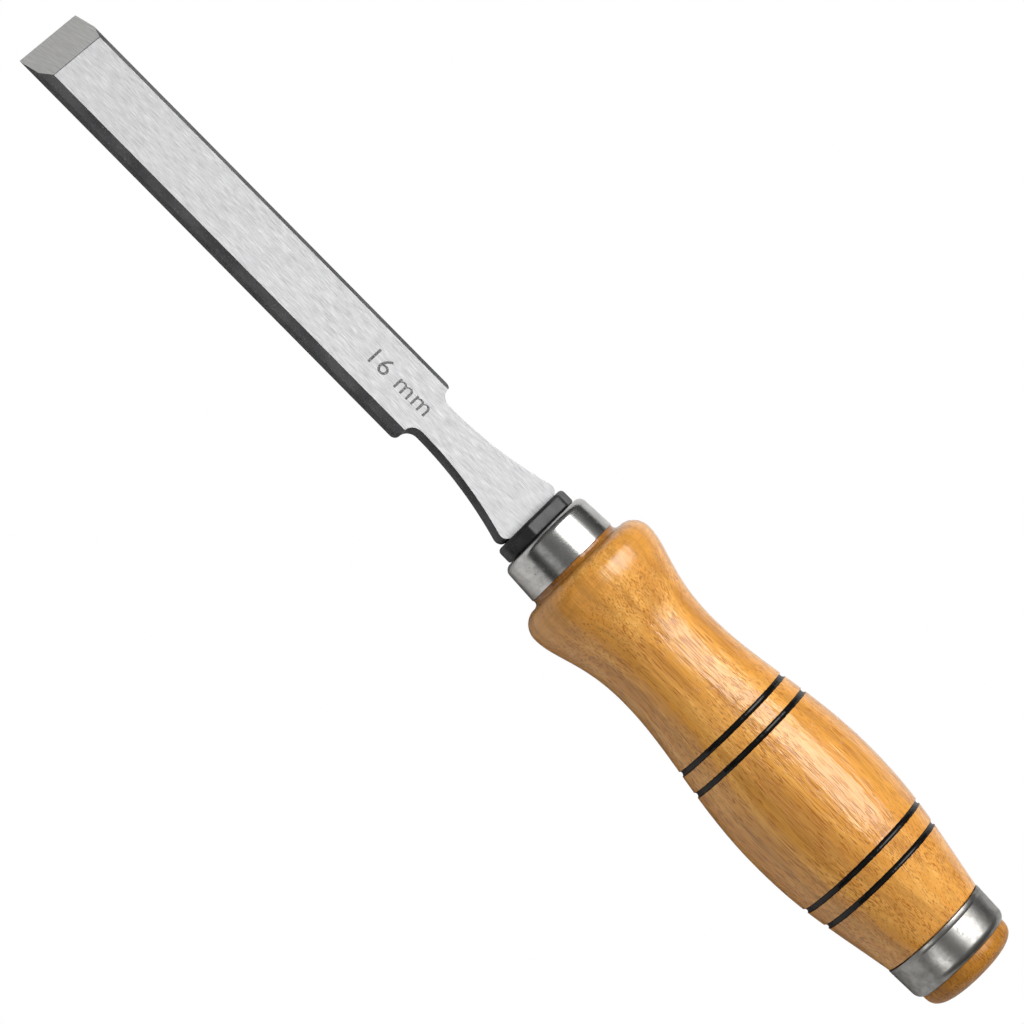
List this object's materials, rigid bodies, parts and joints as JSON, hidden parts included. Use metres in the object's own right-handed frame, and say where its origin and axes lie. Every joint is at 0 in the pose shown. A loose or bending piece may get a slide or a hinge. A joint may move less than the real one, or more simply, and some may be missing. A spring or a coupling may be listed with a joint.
{
  "type": "bench chisel",
  "caption": "Bevel-edge wood chisel: flat steel blade with a flared neck and collar, ferrule, turned varnished wooden handle with dark grooves, and a steel striking hoop.",
  "frame": {"origin": "under the middle of the chisel's length, on its centre plane, level with the lowest point of the handle's belly", "axes": "+X along the handle's axis from the cutting edge to the butt; +Z square to the flat of the blade, out of the side with the cutting bevel"},
  "size_m": [0.2584, 0.0324, 0.0324],
  "materials": {
    "blade_steel": "ground flats with fine lengthwise scratches, dark oxide on the sides",
    "black_enamel": "glossy black enamel",
    "ferrule_steel": "satin polished",
    "varnished_wood": "honey-coloured wood with open pores under clear gloss varnish",
    "hoop_steel": "satin polished, slightly dull"
  },
  "bodies": {
    "root": {"blade": "blade_steel", "bolster_collar": "black_enamel", "front_ferrule": "ferrule_steel", "handle": "varnished_wood", "striking_hoop": "hoop_steel"}
  },
  "joints": []
}
